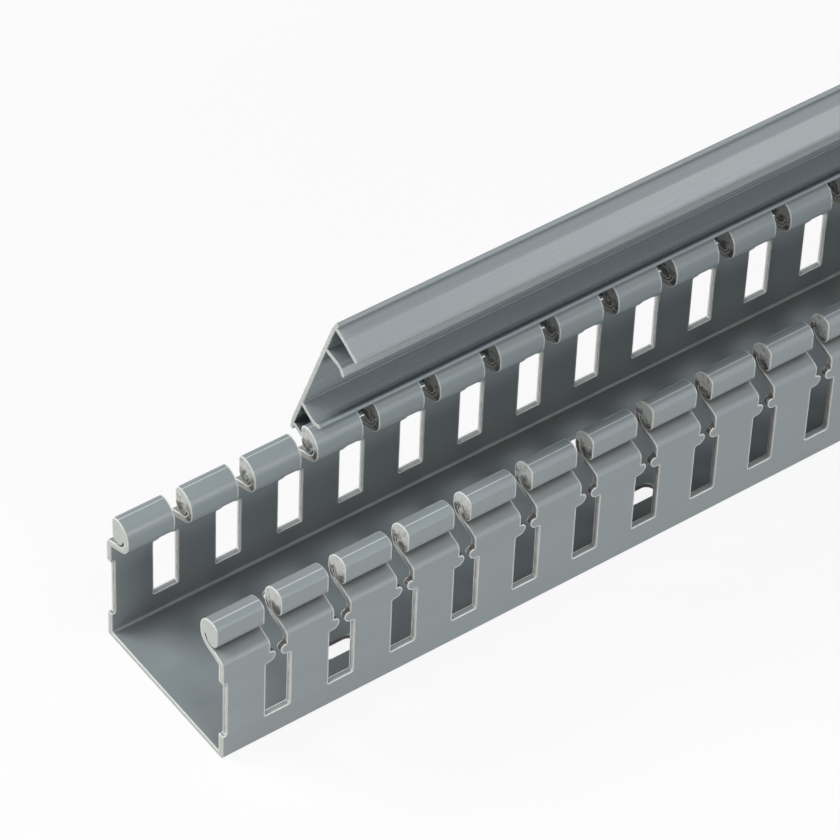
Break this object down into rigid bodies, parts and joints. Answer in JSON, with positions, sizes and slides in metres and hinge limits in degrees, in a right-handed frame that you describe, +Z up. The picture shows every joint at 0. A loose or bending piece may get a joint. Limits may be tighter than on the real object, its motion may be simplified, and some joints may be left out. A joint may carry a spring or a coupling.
{
  "type": "slotted wire duct",
  "caption": "Grey plastic wiring duct with slotted finger walls and a hinged clip cover standing open.",
  "frame": {"origin": "middle of the channel's underside, halfway along the duct", "axes": "+X along the duct away from the sawn end in view, +Y across it towards the hinged side, +Z up"},
  "size_m": [1.0614, 0.0586, 0.093],
  "materials": {
    "duct_pvc": "satin grey rigid PVC, paler where sawn or punched",
    "cover_pvc": "satin grey rigid PVC, paler where sawn"
  },
  "bodies": {
    "duct": {"duct_base": "duct_pvc"},
    "cover": {"duct_cover": "cover_pvc"}
  },
  "joints": [
    {"name": "cover_hinge", "type": "hinge", "parent": "duct", "child": "cover", "pos_m": [0, 0.0237, 0.0417], "axis": [1, 0, 0], "range_deg": [-12, 70]}
  ]
}
